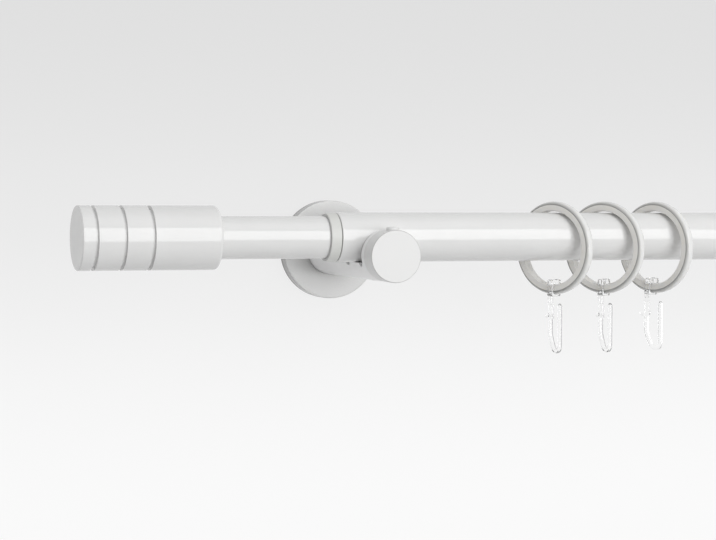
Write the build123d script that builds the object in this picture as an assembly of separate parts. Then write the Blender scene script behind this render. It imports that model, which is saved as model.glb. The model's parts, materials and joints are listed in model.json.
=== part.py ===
from build123d import *
import os

# Extendable curtain rod on two wall brackets, with three curtain rings and their hooks.
# Millimetres. The origin is on the wall, on the axis of the left bracket's arm.
# +X runs along the rod to the right, +Y points into the wall, +Z is up.

# Rod: a thin tube slides inside a fat one
outer_diameter = 20.0
outer_wall = 0.8
outer_length = 680.0
inner_diameter = 17.0
inner_wall = 0.7
inner_length = 640.0
rod_to_wall = 64.4
rod_above_arm = 7.0
outer_mouth_x = -18.1
tube_edge = 0.2

# Moulded collar in the mouth of the fat tube, and the bush that guides the thin tube inside it
collar_length = 4.6
collar_taper = 0.4
collar_edge = 0.3
collar_spigot = 16.0
bush_land = 8.0
bush_spigot = 12.0
bush_bore = 11.0
running_gap = 0.08
seat_gap = 0.05

# Finials: turned cylinders with three grooves
finial_diameter = 25.4
finial_length = 55.6
finial_insertion = 25.0
finial_nose_edge = 0.35
finial_back_round = 1.3
groove_pitch = 11.15
first_groove = 5.6
groove_count = 3
groove_width = 1.4
groove_depth = 1.3
left_finial_back_x = -67.8
finial_screw_diameter = 4.0
finial_screw_inset = 9.0
adapter_length = 24.5
adapter_slot = 1.2

# Brackets
right_arm_to_finial = 66.9
arm_diameter = 21.0
arm_edge = 0.3
saddle_clearance = 0.3
saddle_relief = 2.5
saddle_relief_depth = 1.5
saddle_wall = 2.9
nose_diameter = 16.4
nose_length = 7.4
cap_front_wall = 1.4
cap_edge = 0.35
plate_diameter = 38.4
plate_thickness = 3.0
plate_gap = 0.2
wall_hole_diameter = 4.0
wall_hole_head = 7.4
wall_hole_spacing = 29.4
rosette_wall = 1.6
rosette_height = 6.5
rosette_front = 1.5
rosette_edge = 0.5
arm_hole_gap = 0.1
arm_bolt_diameter = 6.0
arm_bolt_head = 11.0
arm_bolt_length = 18.0
arm_bolt_socket = 4.0
cap_screw_diameter = 5.0
cap_screw_proud = 1.1
cap_screw_back = 4.6
rod_screw_diameter = 5.0
rosette_screw_diameter = 3.0
thread_gap = 0.05

# Grub screws: shares of the radius, and of the length for the socket's depth
grub_edge = 0.2
grub_socket_radius = 0.5
grub_socket_depth = 0.45

# Rings: place along the rod from the left arm, yaw about the vertical, and where the clip sits
ring_places = [78.6, 101.6, 125.7]
ring_yaws = [27.3, 31.0, 23.0]
clip_angles = [0.0, 0.0, 7.0]
hook_yaws = [10.6, 10.2, 37.0]
ring_outer = 38.7
ring_inner = 30.4
ring_width = 4.4
ring_outer_crown = 1.2
ring_inner_crown = 0.4
ring_edge = 0.3
ring_hang_gap = 0.5

# Ring clips and pleat hooks
clip_gap = 0.15
clip_wall = 0.7
clip_length = 2.6
clip_lip = 1.9
clip_slit = 1.2
clip_round = 0.8
clip_edge = 0.3
boss_offset = 2.1
boss_diameter = 2.6
boss_length = 2.75
pin_diameter = 1.35
pin_gap = 0.075
bulb_diameter = 1.75
bulb_length = 0.8
bulb_edge = 0.27
pin_length = 2.3
hook_bar = 1.7
hook_bar_round = 0.5
hook_reach = 6.5
hook_toe = 2.9
hook_straight = 13.0
hook_heel_round = 12.0
hook_toe_round = 2.5
hook_leg_round = 1.8
hook_head_drop = 0.4
hook_depth = 19.2
hook_stem_width = 2.4
hook_stem_length = 6.0
hook_knob = 2.4
hook_knob_offset = 0.95
hook_knob_drop = 4.6
hook_free_end = 0.6
hook_neck_gap = 0.15

# Worked-out sizes
outer_radius = outer_diameter / 2
outer_bore = outer_radius - outer_wall
inner_radius = inner_diameter / 2
inner_bore = inner_radius - inner_wall
rod_y = -rod_to_wall
rod_z = rod_above_arm
outer_end_x = outer_mouth_x + outer_length
inner_end_x = left_finial_back_x - finial_insertion + seat_gap
right_finial_back_x = outer_end_x - finial_insertion
bracket_span = right_finial_back_x - right_arm_to_finial
finial_radius = finial_diameter / 2
finial_bore = outer_radius + seat_gap
arm_radius = arm_diameter / 2
saddle_front = rod_y - outer_radius - saddle_clearance
saddle_back = rod_y + outer_radius + saddle_clearance
saddle_floor = rod_z - outer_radius - seat_gap
shoulder_y = saddle_front - saddle_wall
nose_end_y = shoulder_y - nose_length
cap_face_y = nose_end_y - seat_gap - cap_front_wall
cap_screw_y = cap_face_y + cap_screw_back
rosette_diameter = plate_diameter + 2 * (plate_gap + rosette_wall)
ring_radius = ring_outer / 2
ring_bore = ring_inner / 2
ring_z = rod_z + outer_radius + ring_hang_gap - ring_bore
clip_bottom = ring_radius + clip_gap + clip_wall
boss_bottom = clip_bottom + boss_length


upward = (Align.CENTER, Align.CENTER, Align.MIN)
downward = (Align.CENTER, Align.CENTER, Align.MAX)


def along_x(shape, x, y=0.0, z=0.0):
    """Turn a shape made along +Z so that it runs along +X from the point given."""
    return Pos(x, y, z) * Rot(0, 90, 0) * shape


def along_y(shape, x, y, z=0.0):
    """Turn a shape made along +Z so that it runs along -Y from the point given."""
    return Pos(x, y, z) * Rot(90, 0, 0) * shape


def solid_of_revolution(points):
    """Revolve a closed outline of (radius, height) points about +Z."""
    outline = make_face(Polyline(*[(r, 0, h) for r, h in points], close=True))
    return revolve(outline, Axis.Z)


def tube(outer, bore, length, edge):
    """A plain tube along +Z with its sharp outer edges broken."""
    return solid_of_revolution([
        (bore, 0), (outer - edge, 0), (outer, edge),
        (outer, length - edge), (outer - edge, length), (bore, length),
    ])


def grub_screw(diameter, length):
    """A headless screw along +Z: hexagon socket at the top, chamfered point at the bottom."""
    radius = diameter / 2
    edge = radius * grub_edge
    blank = solid_of_revolution([
        (0, 0), (radius - 2 * edge, 0), (radius, 2 * edge),
        (radius, length - edge), (radius - edge, length), (0, length),
    ])
    socket_depth = length * grub_socket_depth
    socket = extrude(RegularPolygon(radius * grub_socket_radius, 6), socket_depth)
    return blank - Pos(0, 0, length - socket_depth) * socket


# Rod
def make_outer_tube():
    blank = tube(outer_radius, outer_bore, outer_length, tube_edge)
    return along_x(blank, outer_mouth_x, rod_y, rod_z)


def make_inner_tube():
    blank = tube(inner_radius, inner_bore, inner_length, tube_edge)
    return along_x(blank, inner_end_x, rod_y, rod_z)


def make_joint_collar():
    """Tapered head outside the fat tube and a plain spigot inside it, bored for the thin tube."""
    bore = inner_radius + running_gap
    nose = outer_radius - collar_taper
    blank = solid_of_revolution([
        (bore, 0), (nose - collar_edge, 0), (nose, collar_edge),
        (outer_radius, collar_length - collar_edge), (outer_radius - collar_edge, collar_length),
        (outer_bore - seat_gap, collar_length),
        (outer_bore - seat_gap, collar_length + collar_spigot - collar_edge),
        (outer_bore - seat_gap - collar_edge, collar_length + collar_spigot),
        (bore, collar_length + collar_spigot),
    ])
    return along_x(blank, outer_mouth_x - collar_length, rod_y, rod_z)


def make_guide_bush():
    """Plugs the hidden end of the thin tube and runs in the bore of the fat one."""
    land = outer_bore - running_gap
    spigot = inner_bore - seat_gap
    blank = solid_of_revolution([
        (bush_bore / 2, -bush_spigot), (spigot, -bush_spigot), (spigot, 0),
        (land - collar_edge, 0), (land, collar_edge),
        (land, bush_land - collar_edge), (land - collar_edge, bush_land), (bush_bore / 2, bush_land),
    ])
    return along_x(blank, inner_end_x + inner_length, rod_y, rod_z)


# Finials
def finial_blank():
    """The turned finial along +Z: the closed nose at 0, the mouth of its bore at the top."""
    outline = [(0, 0), (finial_radius - finial_nose_edge, 0), (finial_radius, finial_nose_edge)]
    for index in range(groove_count):
        start = first_groove + index * groove_pitch - groove_width / 2
        floor = finial_radius - groove_depth
        outline += [
            (finial_radius, start), (floor, start), (floor, start + groove_width),
            (finial_radius, start + groove_width),
        ]
    bore_floor = finial_length - finial_insertion
    outline += [
        (finial_radius, finial_length), (finial_bore, finial_length),
        (finial_bore, bore_floor), (0, bore_floor),
    ]
    body = solid_of_revolution(outline)
    rim = body.edges().filter_by(GeomType.CIRCLE).group_by(Axis.Z)[-1].sort_by(SortBy.RADIUS)[-1]
    body = fillet(rim, finial_back_round)
    screw_hole = Cylinder(finial_screw_diameter / 2 + thread_gap, finial_radius, align=upward)
    return body - Pos(0, 0, finial_length - finial_screw_inset) * Rot(0, 90, 0) * screw_hole


def make_left_finial():
    nose_x = left_finial_back_x - finial_length
    return Pos(nose_x, rod_y, rod_z) * Rot(0, 90, 0) * finial_blank()


def make_right_finial():
    nose_x = right_finial_back_x + finial_length
    return Pos(nose_x, rod_y, rod_z) * Rot(0, 0, 180) * Rot(0, 90, 0) * finial_blank()


def make_finial_screw(x):
    """Stands upright under the rod, its point against the tube or the adapter."""
    length = finial_radius - outer_radius - seat_gap
    screw = grub_screw(finial_screw_diameter, length)
    return Pos(x, rod_y, rod_z - outer_radius) * Rot(180, 0, 0) * screw


def make_finial_adapter():
    """Split sleeve that lets the finial made for the fat tube grip the thin one."""
    sleeve = tube(outer_radius, inner_radius + seat_gap, adapter_length, tube_edge)
    slot = Pos(outer_radius, 0, adapter_length / 2) * Box(2 * outer_radius, adapter_slot, adapter_length)
    return along_x(sleeve - Rot(0, 0, 180) * slot, left_finial_back_x - adapter_length, rod_y, rod_z)


# Brackets, each made about its own arm at X = 0
def make_wall_plate():
    plate = Cylinder(plate_diameter / 2, plate_thickness, align=upward)
    hole = Cylinder(wall_hole_diameter / 2, plate_thickness, align=upward)
    sink_depth = (wall_hole_head - wall_hole_diameter) / 2
    sink = Cone(wall_hole_diameter / 2, wall_hole_head / 2, sink_depth, align=downward)
    for side in (-1, 1):
        spot = Pos(0, side * wall_hole_spacing / 2, 0)
        plate -= spot * hole
        plate -= spot * Pos(0, 0, plate_thickness) * sink
    bolt_hole = arm_bolt_diameter / 2 + thread_gap
    plate -= Cylinder(bolt_hole, plate_thickness, align=upward)
    plate -= countersink_cone(thread_gap)
    return along_y(plate, 0, 0)


def countersink_cone(gap):
    """Seat of the arm bolt's head: wide at the wall, narrowing into the plate along +Z."""
    depth = (arm_bolt_head - arm_bolt_diameter) / 2
    return Cone(arm_bolt_head / 2 + gap, arm_bolt_diameter / 2 + gap, depth, align=upward)


def make_arm_bolt():
    shank = Cylinder(arm_bolt_diameter / 2, arm_bolt_length, align=upward)
    socket_depth = (arm_bolt_head - arm_bolt_diameter) / 2
    socket = extrude(RegularPolygon(arm_bolt_socket / 2, 6), socket_depth)
    return along_y(shank + countersink_cone(0) - socket, 0, 0)


def make_arm():
    """Round bar with a square saddle cut from above and a turned nose in front of it."""
    length = -plate_thickness - shoulder_y
    bar = Cylinder(arm_radius, length, align=upward)
    bar = chamfer(bar.edges().filter_by(GeomType.CIRCLE), arm_edge)
    nose = Cylinder(nose_diameter / 2, length + nose_length, align=upward)
    bolt_depth = arm_bolt_length - plate_thickness + arm_bolt_diameter / 2
    bolt_bore = Cylinder(arm_bolt_diameter / 2 + thread_gap, bolt_depth, align=upward)
    arm = along_y(bar + nose - bolt_bore, 0, -plate_thickness)
    return arm - saddle_cut() - rod_screw_bore()


def saddle_cut():
    """The slot that takes the rod, with a round relief in each bottom corner."""
    top = arm_radius + outer_radius
    slot = Box(
        arm_diameter + outer_diameter, saddle_back - saddle_front, top - saddle_floor,
        align=(Align.CENTER, Align.MIN, Align.MIN),
    )
    cut = Pos(0, saddle_front, saddle_floor) * slot
    relief = Cylinder(saddle_relief, arm_diameter + outer_diameter)
    relief_z = saddle_floor + saddle_relief - saddle_relief_depth
    for y in (saddle_front + saddle_relief, saddle_back - saddle_relief):
        cut += Pos(0, y, relief_z) * Rot(0, 90, 0) * relief
    return cut


def rod_screw_bore():
    bore = Cylinder(rod_screw_diameter / 2 + thread_gap, arm_radius, align=downward)
    return Pos(0, rod_y, saddle_floor + seat_gap) * bore


def make_rod_screw():
    """Comes up from below through the saddle's floor and bears on the rod."""
    tip = rod_z - outer_radius
    length = arm_radius + tip - seat_gap
    return Pos(0, rod_y, tip) * Rot(180, 0, 0) * grub_screw(rod_screw_diameter, length)


def make_arm_cap():
    """Turned cup over the arm's nose: the round face that shows in front of the rod."""
    depth = shoulder_y - cap_face_y
    cup = Cylinder(arm_radius, depth, align=upward)
    face_rim = cup.edges().filter_by(GeomType.CIRCLE).sort_by(Axis.Z)[-1]
    cup = fillet(face_rim, cap_edge)
    bore = Cylinder(nose_diameter / 2 + seat_gap, nose_length + seat_gap, align=upward)
    screw_hole = Cylinder(cap_screw_diameter / 2 + thread_gap, arm_diameter, align=upward)
    return along_y(cup - bore, 0, shoulder_y) - Pos(0, cap_screw_y, 0) * screw_hole


def make_cap_screw():
    """Screwed down through the top of the cup onto the nose, and stands a little proud."""
    tip = nose_diameter / 2
    length = arm_radius + cap_screw_proud - tip
    return Pos(0, cap_screw_y, tip) * grub_screw(cap_screw_diameter, length)


def make_rosette():
    """Shallow round cover over the wall plate, with the arm through its front."""
    shell = Cylinder(rosette_diameter / 2, rosette_height, align=upward)
    face_rim = shell.edges().filter_by(GeomType.CIRCLE).sort_by(Axis.Z)[-1]
    shell = fillet(face_rim, rosette_edge)
    hollow = Cylinder(plate_diameter / 2 + plate_gap, rosette_height - rosette_front, align=upward)
    arm_hole = Cylinder(arm_radius + arm_hole_gap, rosette_height, align=upward)
    side_hole = Cylinder(rosette_screw_diameter / 2 + thread_gap, rosette_diameter, align=downward)
    cover = along_y(shell - hollow - arm_hole, 0, 0)
    return cover - Pos(0, -plate_thickness / 2, -plate_diameter / 4) * side_hole


def make_rosette_screw():
    """Comes up from below through the cover's side onto the rim of the wall plate."""
    length = (rosette_diameter - plate_diameter) / 2 - seat_gap
    screw = grub_screw(rosette_screw_diameter, length)
    return Pos(0, -plate_thickness / 2, -plate_diameter / 2) * Rot(180, 0, 0) * screw


bracket_makers = {
    "wall_plate": make_wall_plate,
    "arm_bolt": make_arm_bolt,
    "rosette": make_rosette,
    "rosette_screw": make_rosette_screw,
    "arm": make_arm,
    "arm_cap": make_arm_cap,
    "cap_screw": make_cap_screw,
    "rod_screw": make_rod_screw,
}


# Rings, each with its axis along +X and its centre at the origin, the clip at the bottom
def ring_section(gap):
    """Cross-section of the ring, grown by a gap all round: flat sides, crowned rim and bore."""
    side = ring_width / 2 + gap
    rim = ring_radius + gap
    bore = ring_bore - gap
    rim_corner = rim - ring_outer_crown
    bore_corner = bore + ring_inner_crown
    outline = Line((-side, bore_corner), (-side, rim_corner))
    outline += ThreePointArc((-side, rim_corner), (0, rim), (side, rim_corner))
    outline += Line((side, rim_corner), (side, bore_corner))
    outline += ThreePointArc((side, bore_corner), (0, bore), (-side, bore_corner))
    face = make_face(outline)
    return Plane.XZ * fillet(face.vertices(), ring_edge + gap)


def make_ring():
    return revolve(ring_section(0), Axis.X)


def make_ring_clip():
    """Clear strap snapped round the ring, with a socket under one leg for the hook's pin."""
    half_width = ring_width / 2 + clip_gap + clip_wall
    top = ring_bore - clip_gap - clip_lip
    height = clip_bottom - top
    strap = Pos(0, 0, -(clip_bottom + top) / 2) * Box(2 * half_width, clip_length, height)
    strap = fillet(strap.edges().filter_by(Axis.Y), clip_round)
    strap = fillet(strap.edges().filter_by(GeomType.LINE).filter_by(Axis.Z), clip_edge)
    slit = Pos(0, 0, -top) * Box(clip_slit, clip_length, 2 * (clip_lip + clip_gap))
    boss = Cylinder(boss_diameter / 2, boss_length + clip_wall / 2, align=upward)
    bore = Cylinder(pin_diameter / 2 + pin_gap, pin_length + pin_gap, align=upward)
    chamber = Cylinder(bulb_diameter / 2 + pin_gap, bulb_length + 2 * pin_gap, align=upward)
    bore += Pos(0, 0, pin_length - bulb_length - pin_gap) * chamber
    socket = Pos(-boss_offset, 0, -boss_bottom)
    cavity = revolve(ring_section(clip_gap), Axis.X)
    return strap + socket * boss - cavity - slit - socket * bore


def make_hook_pin():
    """Pin with a snap bulb, standing on the hook's neck inside the clip's socket."""
    root = -hook_neck_gap - hook_bar / 2
    bulb = pin_length - bulb_length
    pin = solid_of_revolution([
        (0, root), (pin_diameter / 2, root), (pin_diameter / 2, bulb),
        (bulb_diameter / 2, bulb + bulb_edge), (bulb_diameter / 2, pin_length - bulb_edge),
        (pin_diameter / 2, pin_length), (0, pin_length),
    ])
    return Pos(-boss_offset, 0, -boss_bottom) * pin


def make_hook_bow():
    """The bent bar, in the plane of +Y and +Z: stem at the origin, free leg towards -Y."""
    top = hook_free_end - hook_bar / 2
    path = FilletPolyline(
        (0, 0, 0), (0, 0, -hook_straight), (0, -hook_toe, -hook_depth),
        (0, -hook_reach, -hook_depth), (0, -hook_reach, top),
        radius=[hook_heel_round, hook_toe_round, hook_leg_round],
    )
    section = RectangleRounded(hook_bar, hook_bar, hook_bar_round)
    bow = sweep(Plane(origin=(0, 0, 0), z_dir=(0, 0, -1)) * section, path)
    stem = Box(hook_bar, hook_stem_width, hook_stem_length, align=downward)
    stem = fillet(stem.edges().filter_by(Axis.Z), hook_bar_round)
    stem = Pos(0, -(hook_stem_width - hook_bar) / 2, 0) * stem
    knob = Pos(0, hook_bar / 2 + hook_knob_offset, -hook_knob_drop) * Sphere(hook_knob / 2)
    tip = Pos(0, -hook_reach, top) * Sphere(hook_bar / 2)
    return bow + stem + knob + tip


def at_ring(index, shape):
    """Put a shape made about a ring's centre where that ring hangs."""
    return Pos(ring_places[index], rod_y, ring_z) * Rot(0, 0, ring_yaws[index]) * shape


def clip_turn(index):
    """The clip slides round the ring: a turn about the ring's own axis."""
    return Rot(clip_angles[index], 0, 0)


def make_pleat_hook(index):
    """The pin follows the clip, and the bow hangs plumb below it, turned to its own yaw."""
    pin = at_ring(index, clip_turn(index) * make_hook_pin())
    neck_place = Pos(-boss_offset, 0, -boss_bottom - hook_neck_gap)
    neck = at_ring(index, clip_turn(index) * neck_place).position
    bow = Pos(neck) * Rot(0, 0, hook_yaws[index]) * Pos(0, 0, -hook_head_drop) * make_hook_bow()
    head = Pos(neck) * Pos(0, 0, -hook_bar / 2) * Sphere(hook_bar / 2)
    return pin + bow + head


def all_nodes():
    nodes = {
        "outer_tube": make_outer_tube(),
        "joint_collar": make_joint_collar(),
        "inner_tube": make_inner_tube(),
        "guide_bush": make_guide_bush(),
        "left_finial": make_left_finial(),
        "left_finial_adapter": make_finial_adapter(),
        "left_finial_screw": make_finial_screw(left_finial_back_x - finial_screw_inset),
        "right_finial": make_right_finial(),
        "right_finial_screw": make_finial_screw(right_finial_back_x + finial_screw_inset),
    }
    for side, x in (("left", 0.0), ("right", bracket_span)):
        for name, maker in bracket_makers.items():
            nodes[f"{side}_{name}"] = Pos(x, 0, 0) * maker()
    for index in range(len(ring_places)):
        number = index + 1
        nodes[f"ring_{number}"] = at_ring(index, make_ring())
        nodes[f"ring_clip_{number}"] = at_ring(index, clip_turn(index) * make_ring_clip())
        nodes[f"pleat_hook_{number}"] = make_pleat_hook(index)
    return nodes


os.makedirs("parts", exist_ok=True)
for name, shape in all_nodes().items():
    solids = shape.solids()
    export_step(solids[0] if len(solids) == 1 else Compound(children=list(solids)), f"parts/{name}.step")
    print(name, len(solids), round(sum(solid.volume for solid in solids), 1))
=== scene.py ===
"""Looks of the extendable curtain rod: enamelled tubes and brackets, moulded rings, clear hooks."""

import json
import math

import bpy
from mathutils import Matrix, Vector


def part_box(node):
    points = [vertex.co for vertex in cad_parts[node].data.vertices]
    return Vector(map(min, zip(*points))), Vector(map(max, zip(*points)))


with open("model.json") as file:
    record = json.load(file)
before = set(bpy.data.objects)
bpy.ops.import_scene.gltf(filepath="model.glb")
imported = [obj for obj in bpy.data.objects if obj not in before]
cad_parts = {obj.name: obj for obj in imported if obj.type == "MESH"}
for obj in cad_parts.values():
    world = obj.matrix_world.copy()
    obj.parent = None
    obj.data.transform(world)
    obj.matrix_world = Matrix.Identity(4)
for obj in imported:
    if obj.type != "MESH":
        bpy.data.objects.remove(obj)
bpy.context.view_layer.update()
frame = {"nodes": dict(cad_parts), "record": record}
nodes = frame["nodes"]

# Colours, linear
ENAMEL = (0.80, 0.80, 0.795)
COLLAR = (0.72, 0.725, 0.70)
RING = (0.94, 0.94, 0.94)
# Ring: a warmer tone for the face, then painted shade for the face-to-crown edge and the crown next
# to it
RING_FACE_TONE = (0.90, 0.885, 0.855)
RING_EDGE_SHADE = (0.36, 0.36, 0.35)
RING_CROWN_SHADE = (0.50, 0.50, 0.49)
BAND = (0.86, 0.86, 0.85)
# Painted shadow for the gap where the collar meets the outer tube
COLLAR_GAP_SHADE = (0.15, 0.15, 0.14)
# Painted shade for a rounded edge and an end face
EDGE_SHADE = (0.50, 0.50, 0.49)
# Painted light: the brackets' white enamel made lighter than the tubes' same enamel, for the
# brighter-lit arms
BRACKET_LIT_WHITE = (0.97, 0.97, 0.97)
# Painted shadow on the rosette's side next to the wall
ROSETTE_WALL_SHADE = (0.25, 0.25, 0.24)
# Painted shade where other parts crowd close to the rosette
ROSETTE_OCCLUSION_SHADE = (0.16, 0.16, 0.155)
ZINC = (0.62, 0.62, 0.61)
CLEAR = (1.0, 1.0, 1.0)
WALL = (0.60, 0.60, 0.60)
WALL_TOP = 0.765
WALL_FOOT = 1.0

# Where the painted shade lies, metres
CAP_FRONT_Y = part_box("left_arm_cap")[0][1]
CAP_LINE_START = 0.00025
CAP_LINE_FULL = 0.0001
CAP_LINE_END = 0.00004
ROSETTE_WALL_SHADE_START_Y = -0.0018
ROSETTE_WALL_SHADE_FULL_Y = -0.0003
ROSETTE_OCCLUSION_REACH = 0.045
COLLAR_GAP_SHADE_X = -0.01845
COLLAR_LIP_X = -0.02245
COLLAR_LINE_BLEND = 0.0001

# The ring's colours by distance from its axis: the range, and where each colour sits in it. A
# warmer tone on the face, then a painted shade line at the edge where the face meets the crown,
# then painted shade on the crown that lightens outward
RING_FACE_RADIUS = 0.0171
RING_RIM_RADIUS = 0.0196
RING_STOPS = ((0.28, RING_FACE_TONE), (0.34, RING_EDGE_SHADE), (0.44, RING_EDGE_SHADE), (0.56, RING_CROWN_SHADE), (0.86, BAND))

# Clear plastic
CLEAR_INDEX = 1.49

# Backdrop, metres: a wall just behind the plates, a rounded foot and a floor
WALL_Y = 0.0004
FLOOR_Z = -0.75
FOOT_RADIUS = 0.4
FOOT_STEPS = 12
FLOOR_FRONT_Y = -3.5
WALL_TOP_Z = 2.2
BACKDROP_ENDS = (-3.0, 3.6)
FADE_HALF_HEIGHT = 0.12
GLOW_SHARE = 0.9

# Room, linear
ROOM_BELOW = (0.70, 0.70, 0.70)
ROOM_ABOVE = (0.50, 0.50, 0.50)
ROOM_SEEN = (0.86, 0.86, 0.86)

# Camera, metres and radians
CAMERA_PLACE = Vector((-0.29536, -0.87353, 0.03140))
CAMERA_YAW = 0.341
CAMERA_PITCH = 0.0438
CAMERA_ROLL = 0.0068
CAMERA_LENS = 107.1
SENSOR_WIDTH = 36.0


class Material:
    """A node material: its Principled shader, and short ways to add and join nodes."""

    def __init__(self, name):
        self.material = bpy.data.materials.new(name)
        self.material.use_nodes = True
        self.tree = self.material.node_tree
        self.shader = self.tree.nodes["Principled BSDF"]
        self.output = self.tree.nodes["Material Output"]
        self.coords = self.tree.nodes.new("ShaderNodeTexCoord").outputs["Object"]

    def set(self, **values):
        for name, value in values.items():
            socket = name.replace("_", " ").title().replace("Ior", "IOR")
            self.shader.inputs[socket].default_value = value

    def node(self, kind, **values):
        made = self.tree.nodes.new(kind)
        for name, value in values.items():
            if hasattr(made, name):
                setattr(made, name, value)
            else:
                made.inputs[name.replace("_", " ").title()].default_value = value
        return made

    def link(self, a, b):
        self.tree.links.new(a, b)

    def noise(self, scale, detail=2.0):
        """Noise in metres of the object: scale is the number of blobs in a metre."""
        texture = self.node("ShaderNodeTexNoise", scale=scale, detail=detail)
        self.link(self.coords, texture.inputs["Vector"])
        return texture.outputs["Fac"]

    def ramp(self, value, low, high, start=0.0, end=1.0):
        """Map a value's range start to end onto low to high, as a number or a colour."""
        ramp = self.node("ShaderNodeValToRGB")
        self.link(value, ramp.inputs["Fac"])
        for element, place, tone in zip(ramp.color_ramp.elements, (start, end), (low, high)):
            element.position = place
            element.color = (tone, tone, tone, 1) if isinstance(tone, float) else (*tone, 1)
        return ramp.outputs["Color"]

    def bump(self, height, distance, strength):
        node = self.node("ShaderNodeBump", distance=distance, strength=strength)
        self.link(height, node.inputs["Height"])
        return node.outputs["Normal"]

    def finish(self, color=None, roughness=None, normal=None):
        for name, value in (("Base Color", color), ("Roughness", roughness), ("Normal", normal)):
            if value:
                self.link(value, self.shader.inputs[name])
        return self


def shade(tone, factor):
    return tuple(min(1.0, channel * factor) for channel in tone)


def enamel(name, tone, gloss=0.055, peel=0.02, cloud=0.05):
    """Sprayed gloss enamel: faint mottling, orange peel, and dust fixed in the coat."""
    made = Material(name)
    made.set(specular_ior_level=0.5, ior=1.5)
    mottle = made.noise(90, 3.0)
    color = made.ramp(mottle, shade(tone, 0.99), shade(tone, 1.01), 0.35, 0.65)
    dull, clean = gloss * (1 - cloud), gloss * (1 + cloud)
    roughness = made.ramp(made.noise(260, 3.0), dull, clean, 0.3, 0.7)
    peeled = made.bump(made.noise(900, 2.0), 0.00002, peel)
    return made.finish(color, roughness, peeled)


def darken(made, along, start, end, tone):
    """Blend the made material's colour to a darker tone as a length goes from start to end."""
    spread = made.node("ShaderNodeMapRange")
    spread.inputs["From Min"].default_value = start
    spread.inputs["From Max"].default_value = end
    mix = made.node("ShaderNodeMix", data_type="RGBA")
    mix.inputs["B"].default_value = (*tone, 1)
    base = made.shader.inputs["Base Color"]
    made.link(along, spread.inputs["Value"])
    made.link(spread.outputs["Result"], mix.inputs["Factor"])
    made.link(base.links[0].from_socket, mix.inputs["A"])
    made.link(mix.outputs["Result"], base)


def axis_lengths(made, centre=(0.0, 0.0, 0.0), yaw=0.0):
    """Lengths along X, Y and Z from a centre, with X and Y turned about the vertical."""
    mapping = made.node("ShaderNodeMapping", vector_type="TEXTURE")
    mapping.inputs["Location"].default_value = centre
    mapping.inputs["Rotation"].default_value = (0.0, 0.0, yaw)
    axes = made.node("ShaderNodeSeparateXYZ")
    made.link(made.coords, mapping.inputs["Vector"])
    made.link(mapping.outputs["Vector"], axes.inputs["Vector"])
    return axes.outputs["X"], axes.outputs["Y"], axes.outputs["Z"]


tube_enamel = enamel("tube_enamel", ENAMEL).material
finial_enamel = enamel("finial_enamel", ENAMEL).material
# Painted light: the brackets get a lighter copy of the white enamel, standing in for the brighter
# light on the arms
bracket = enamel("bracket_enamel", BRACKET_LIT_WHITE, gloss=0.28, peel=0.01, cloud=0.005)
bracket.set(specular_ior_level=0.3)
bracket_enamel = bracket.material

cap = enamel("cap_enamel", ENAMEL, gloss=0.28, peel=0.01, cloud=0.005)
cap.set(specular_ior_level=0.3)
# Painted shade: a thin dark ring just behind the cap's front face, at its rounded edge
cap_y = axis_lengths(cap)[1]
darken(cap, cap_y, CAP_FRONT_Y + CAP_LINE_START, CAP_FRONT_Y + CAP_LINE_FULL, EDGE_SHADE)
darken(cap, cap_y, CAP_FRONT_Y + CAP_LINE_END, CAP_FRONT_Y, ENAMEL)
cap_enamel = cap.material

rosette = enamel("rosette_enamel", ENAMEL, gloss=0.2)
rosette_y = axis_lengths(rosette)[1]
# Painted shadow: the rosette's side darkens towards the wall
darken(rosette, rosette_y, ROSETTE_WALL_SHADE_START_Y, ROSETTE_WALL_SHADE_FULL_Y, ROSETTE_WALL_SHADE)
# Painted shade: the rosette's colour darkens where the arm and tubes are near, by ambient occlusion
occlusion_shade = rosette.node("ShaderNodeAmbientOcclusion", samples=8)
occlusion_shade.inputs["Distance"].default_value = ROSETTE_OCCLUSION_REACH
darken(rosette, occlusion_shade.outputs["AO"], 0.95, 0.25, ROSETTE_OCCLUSION_SHADE)
rosette_enamel = rosette.material

collar = enamel("collar_plastic", COLLAR, gloss=0.35)
collar_x = axis_lengths(collar)[0]
# Painted shade on the collar's left end face, and a painted shadow line where the collar meets the
# outer tube
darken(collar, collar_x, COLLAR_LIP_X, COLLAR_LIP_X - COLLAR_LINE_BLEND, EDGE_SHADE)
darken(collar, collar_x, COLLAR_GAP_SHADE_X - COLLAR_LINE_BLEND, COLLAR_GAP_SHADE_X, COLLAR_GAP_SHADE)
collar_plastic = collar.material

zinc = enamel("zinc_plate", ZINC, gloss=0.3)
zinc.set(metallic=1.0)
zinc_plate = zinc.material


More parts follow.
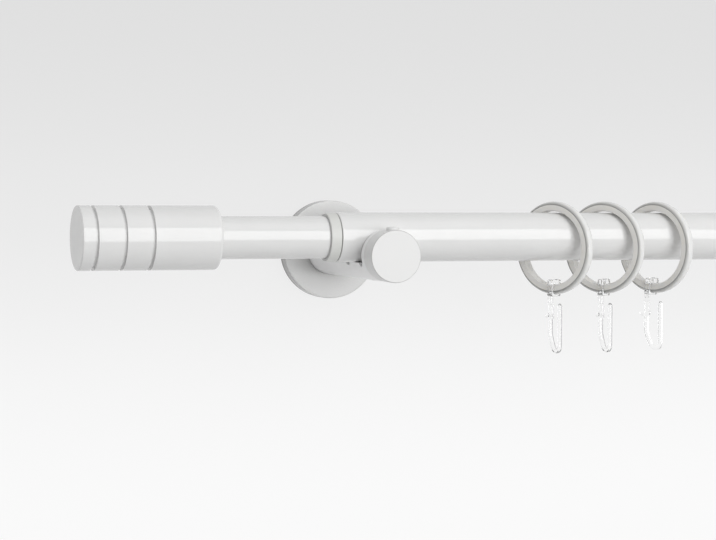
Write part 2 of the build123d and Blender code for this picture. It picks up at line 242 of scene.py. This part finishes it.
def ring_finish(name, joint):
    """A white ring with a warmer face, a painted shade line at the edge between face and crown, and
    painted shade on the crown lightening outward, on both sides.
    """
    made = enamel(name, RING, gloss=0.16)
    made.set(subsurface_weight=0.5, subsurface_radius=(1.0, 0.97, 0.9), subsurface_scale=0.004)
    axis = Vector(joint["axis"])
    _, y, z = axis_lengths(made, joint["pos_m"], math.atan2(axis.y, axis.x))
    flat = made.node("ShaderNodeCombineXYZ")
    made.link(y, flat.inputs["X"])
    made.link(z, flat.inputs["Y"])
    radius = made.node("ShaderNodeVectorMath", operation="LENGTH")
    made.link(flat.outputs["Vector"], radius.inputs[0])
    spread = made.node("ShaderNodeMapRange")
    spread.inputs["From Min"].default_value = RING_FACE_RADIUS
    spread.inputs["From Max"].default_value = RING_RIM_RADIUS
    made.link(radius.outputs["Value"], spread.inputs["Value"])
    ramp = made.node("ShaderNodeValToRGB")
    stops = ramp.color_ramp.elements
    for place, tone in RING_STOPS:
        stop = stops.new(place)
        stop.color = (*tone, 1)
    stops.remove(stops[0])
    stops.remove(stops[-1])
    made.link(spread.outputs["Result"], ramp.inputs["Fac"])
    mix = made.node("ShaderNodeMix", data_type="RGBA", blend_type="MULTIPLY")
    mix.inputs["Factor"].default_value = 1.0
    base = made.shader.inputs["Base Color"]
    made.link(base.links[0].from_socket, mix.inputs["A"])
    made.link(ramp.outputs["Color"], mix.inputs["B"])
    made.link(mix.outputs["Result"], base)
    return made.material


def clear_plastic(name):
    """Injection-moulded clear plastic: it refracts the room, with a faint uneven haze."""
    made = Material(name)
    made.set(ior=CLEAR_INDEX, transmission_weight=1.0)
    color = made.ramp(made.noise(120, 2.0), shade(CLEAR, 0.98), CLEAR, 0.35, 0.65)
    haze = made.ramp(made.noise(300, 2.0), 0.04, 0.08, 0.3, 0.7)
    return made.finish(color, haze).material


clear_clip = clear_plastic("clear_clip")
clear_hook = clear_plastic("clear_hook")

FINISH_OF_SLOT = {
    "tube_enamel": tube_enamel,
    "finial_enamel": finial_enamel,
    "bracket_enamel": bracket_enamel,
    "rosette_enamel": rosette_enamel,
    "screw_white": cap_enamel,
    "plate_steel": zinc_plate,
    "screw_steel": zinc_plate,
    "collar_plastic": collar_plastic,
    "clear_clip": clear_clip,
    "clear_hook": clear_hook,
}
joints = {joint["name"]: joint for joint in frame["record"]["behaviour"]["joints"]}
FINISH_OF_NODE = {
    f"ring_{number}": ring_finish(f"ring_plastic_{number}", joints[f"ring_clip_{number}_swing"])
    for number in (1, 2, 3)
}
FINISH_OF_NODE.update(left_arm_cap=cap_enamel, right_arm_cap=cap_enamel)
slot_of_node = {part["node"]: part["material_slot"] for part in frame["record"]["subparts"]}


def dress(name, node):
    """Give the node its finish; its shading normals come with it from the CAD faces."""
    node.data.materials.clear()
    slot = slot_of_node[name]
    finish = FINISH_OF_NODE[name] if name in FINISH_OF_NODE else FINISH_OF_SLOT[slot]
    node.data.materials.append(finish)


for name, node in nodes.items():
    dress(name, node)


def seen_or_mirrored(tree):
    """1 for rays from the camera and for those through or off a smooth surface, else 0."""
    path = tree.nodes.new("ShaderNodeLightPath")
    total = None
    for name in ("Is Camera Ray", "Is Glossy Ray", "Is Transmission Ray"):
        if total is None:
            total = path.outputs[name]
            continue
        both = tree.nodes.new("ShaderNodeMath")
        both.operation = "MAXIMUM"
        tree.links.new(total, both.inputs[0])
        tree.links.new(path.outputs[name], both.inputs[1])
        total = both.outputs["Value"]
    return total


def backdrop():
    """Wall and floor, one sheet with a rounded foot, seen only from the room."""
    outline = [(WALL_Y, WALL_TOP_Z)]
    for step in range(FOOT_STEPS + 1):
        turn = math.radians(90 * step / FOOT_STEPS)
        y = WALL_Y - FOOT_RADIUS + FOOT_RADIUS * math.cos(turn)
        z = FLOOR_Z + FOOT_RADIUS - FOOT_RADIUS * math.sin(turn)
        outline.append((y, z))
    outline.append((FLOOR_FRONT_Y, FLOOR_Z))
    vertices = [(x, y, z) for y, z in outline for x in BACKDROP_ENDS]
    faces = [(2 * i, 2 * i + 2, 2 * i + 3, 2 * i + 1) for i in range(len(outline) - 1)]
    mesh = bpy.data.meshes.new("backdrop")
    mesh.from_pydata(vertices, [], faces)
    mesh.shade_smooth()
    sheet = bpy.data.objects.new("backdrop", mesh)
    bpy.context.scene.collection.objects.link(sheet)
    made = Material("backdrop")
    made.set(roughness=0.9)
    paint = made.ramp(made.noise(3, 2.0), shade(WALL, 0.995), shade(WALL, 1.005), 0.3, 0.7)
    made.finish(paint)
    axes = made.node("ShaderNodeSeparateXYZ")
    made.link(made.coords, axes.inputs["Vector"])
    spread = made.node("ShaderNodeMapRange")
    spread.interpolation_type = "SMOOTHSTEP"
    spread.inputs["From Min"].default_value = -FADE_HALF_HEIGHT
    spread.inputs["From Max"].default_value = FADE_HALF_HEIGHT
    made.link(axes.outputs["Z"], spread.inputs["Value"])
    tone = made.ramp(spread.outputs["Result"], WALL_FOOT, WALL_TOP)
    glow = made.node("ShaderNodeEmission")
    made.link(tone, glow.inputs["Color"])
    pale = made.node("ShaderNodeMixShader")
    lit = made.node("ShaderNodeMixShader")
    lit.inputs["Fac"].default_value = GLOW_SHARE
    made.link(made.shader.outputs["BSDF"], lit.inputs[1])
    made.link(glow.outputs["Emission"], lit.inputs[2])
    made.link(seen_or_mirrored(made.tree), pale.inputs["Fac"])
    made.link(made.shader.outputs["BSDF"], pale.inputs[1])
    made.link(lit.outputs["Shader"], pale.inputs[2])
    geometry = made.node("ShaderNodeNewGeometry")
    clear = made.node("ShaderNodeBsdfTransparent")
    mix = made.node("ShaderNodeMixShader")
    made.link(geometry.outputs["Backfacing"], mix.inputs["Fac"])
    made.link(pale.outputs["Shader"], mix.inputs[1])
    made.link(clear.outputs["BSDF"], mix.inputs[2])
    made.link(mix.outputs["Shader"], made.output.inputs["Surface"])
    mesh.materials.append(made.material)


backdrop()


# Light: an even room, a tall soft box to the right of the camera, and a weak broad one overhead
def area_lamp(name, place, aim, width, height, radiance):
    """An area lamp of the radiance given, in units where 1 is white."""
    data = bpy.data.lights.new(name, "AREA")
    data.shape = "RECTANGLE"
    data.size = width
    data.size_y = height
    data.energy = radiance * math.pi * width * height
    lamp = bpy.data.objects.new(name, data)
    bpy.context.scene.collection.objects.link(lamp)
    place, aim = Vector(place), Vector(aim)
    lamp.location = place
    lamp.rotation_euler = (aim - place).to_track_quat("-Z", "Y").to_euler()


area_lamp(
    "front_box", place=(0.80, -2.06, 0.57), aim=(0.80, 0.0, 0.57),
    width=1.3, height=1.87, radiance=3.4,
)
area_lamp(
    "top_fill", place=(0.0, -0.9, 1.6), aim=(0.0, -0.064, 0.0),
    width=1.6, height=1.2, radiance=0.35,
)


def make_world():
    """The room: pale where it is seen or mirrored, and darker below than above as a light."""
    world = bpy.data.worlds.new("room")
    bpy.context.scene.world = world
    world.use_nodes = True
    tree = world.node_tree
    direction = tree.nodes.new("ShaderNodeTexCoord")
    height = tree.nodes.new("ShaderNodeSeparateXYZ")
    spread = tree.nodes.new("ShaderNodeMapRange")
    spread.inputs["From Min"].default_value = -1.0
    tones = tree.nodes.new("ShaderNodeMix")
    tones.data_type = "RGBA"
    tones.inputs["A"].default_value = (*ROOM_BELOW, 1)
    tones.inputs["B"].default_value = (*ROOM_ABOVE, 1)
    choose = tree.nodes.new("ShaderNodeMix")
    choose.data_type = "RGBA"
    choose.inputs["B"].default_value = (*ROOM_SEEN, 1)
    join = tree.links.new
    join(direction.outputs["Generated"], height.inputs["Vector"])
    join(height.outputs["Z"], spread.inputs["Value"])
    join(spread.outputs["Result"], tones.inputs["Factor"])
    join(seen_or_mirrored(tree), choose.inputs["Factor"])
    join(tones.outputs["Result"], choose.inputs["A"])
    join(choose.outputs["Result"], tree.nodes["Background"].inputs["Color"])
    tree.nodes["Background"].inputs["Strength"].default_value = 1.0


make_world()


def make_camera():
    """The camera at the photograph's place, fitted to the tubes, finial, cover and rings."""
    yaw, pitch, roll = CAMERA_YAW, CAMERA_PITCH, CAMERA_ROLL
    level_part = math.cos(pitch)
    ahead = Vector((math.sin(yaw) * level_part, math.cos(yaw) * level_part, -math.sin(pitch)))
    level = Vector((math.cos(yaw), -math.sin(yaw), 0.0))
    upright = level.cross(ahead)
    right = math.cos(roll) * level + math.sin(roll) * upright
    up = -math.sin(roll) * level + math.cos(roll) * upright
    data = bpy.data.cameras.new("camera")
    data.sensor_width = SENSOR_WIDTH
    data.lens = CAMERA_LENS
    camera = bpy.data.objects.new("camera", data)
    bpy.context.scene.collection.objects.link(camera)
    rotation = Matrix((right, up, -ahead)).transposed().to_4x4()
    camera.matrix_world = Matrix.Translation(CAMERA_PLACE) @ rotation
    bpy.context.scene.camera = camera


make_camera()
bpy.context.scene.view_settings.view_transform = "Standard"
